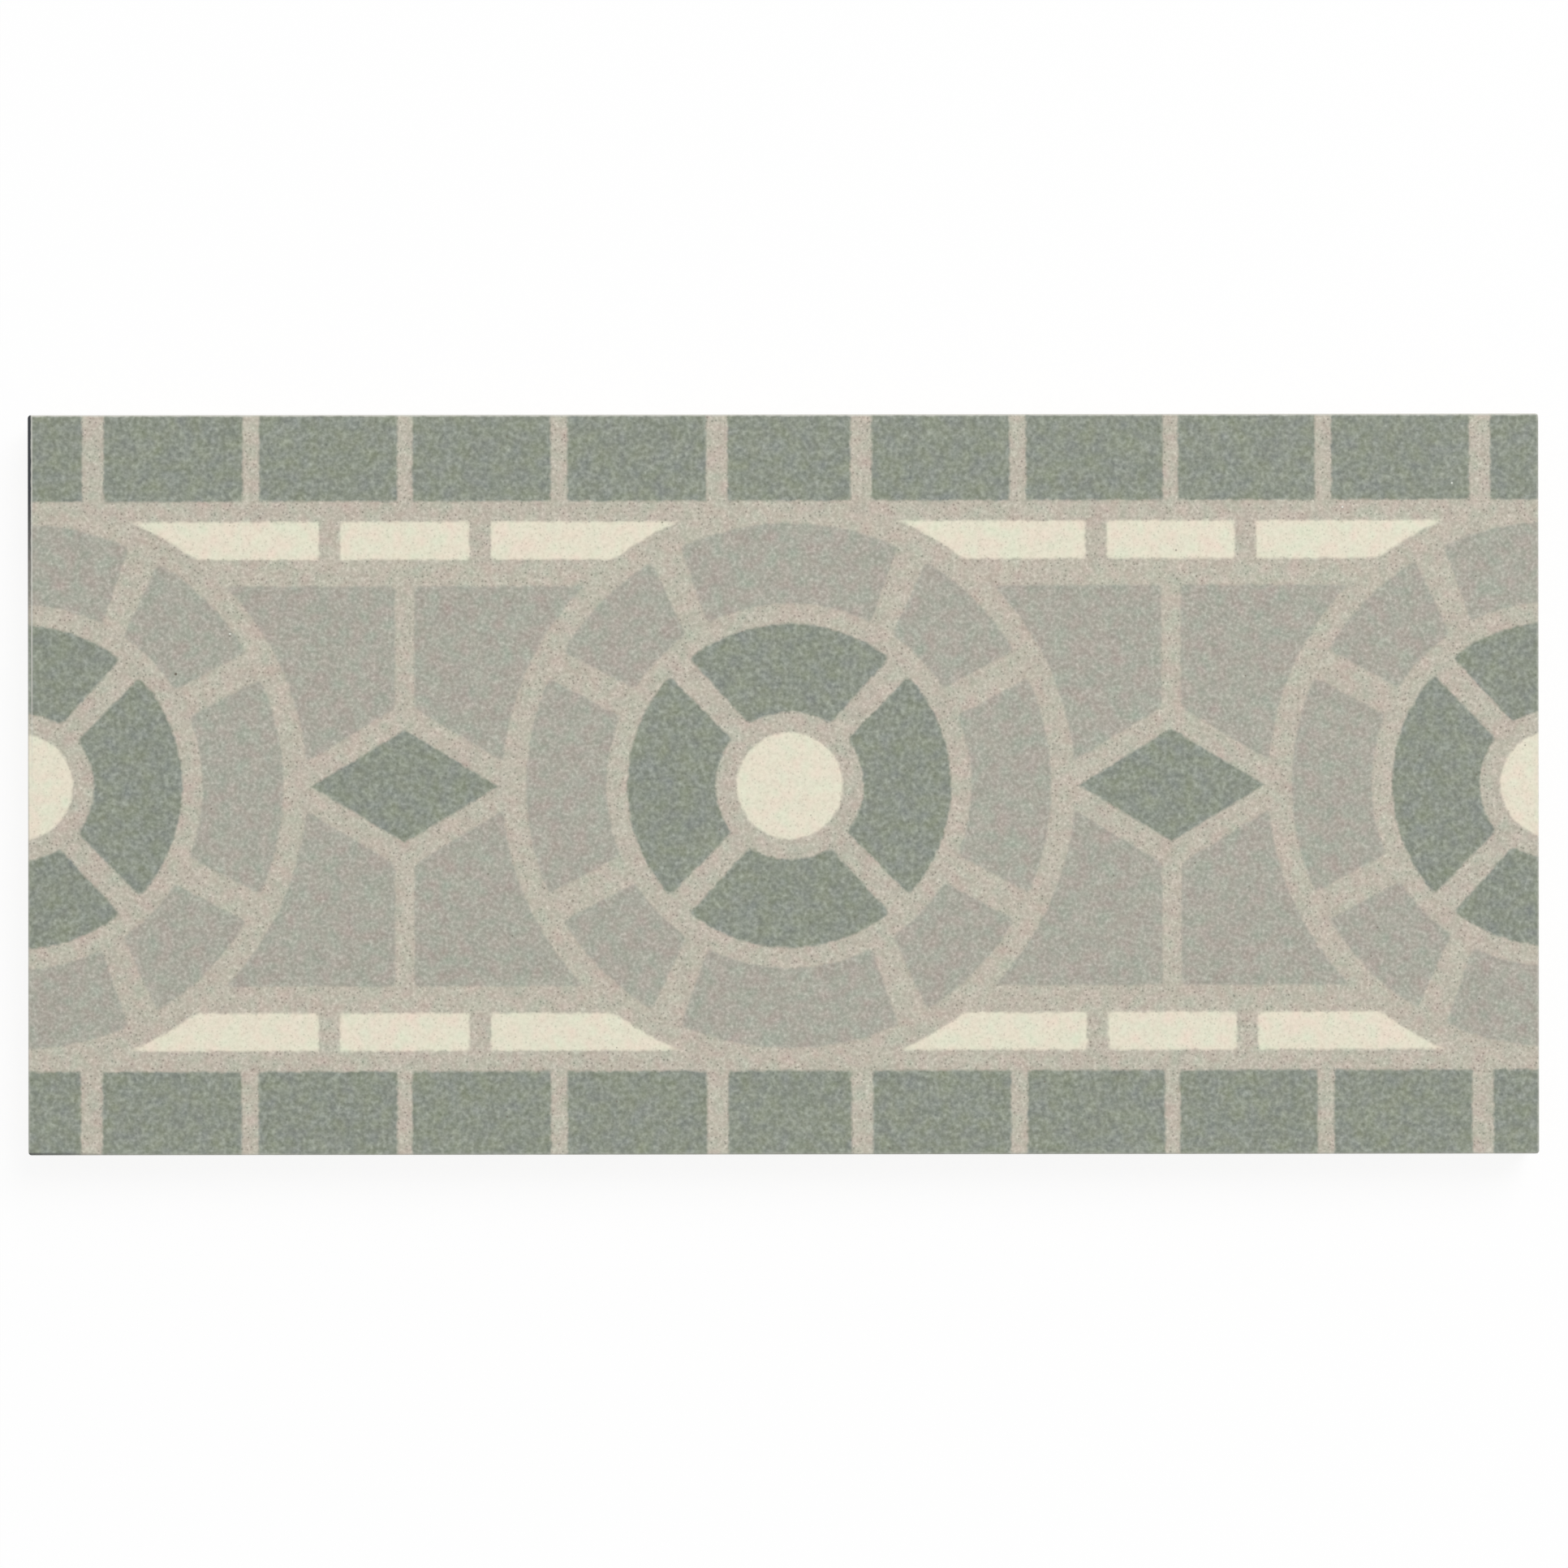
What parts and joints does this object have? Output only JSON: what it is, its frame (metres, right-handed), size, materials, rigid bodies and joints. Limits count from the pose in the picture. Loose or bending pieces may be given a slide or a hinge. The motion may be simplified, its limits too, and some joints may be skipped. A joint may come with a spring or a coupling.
{
  "type": "patterned border tile",
  "caption": "Oblong glazed ceramic floor tile printed with a geometric mosaic border of wheels, lozenges, bars and squares; flat face, keyed back.",
  "frame": {"origin": "middle of the keyed back, on the plane of its ribs, which the tile lies on", "axes": "+X along the long side, to the right in the picture; +Y across, to the picture's top; +Z out of the printed face"},
  "size_m": [0.298, 0.146, 0.009],
  "materials": {
    "printed_glaze": "matt to satin printed glaze over a pale pressed body"
  },
  "bodies": {
    "root": {"tile": "printed_glaze"}
  },
  "joints": []
}
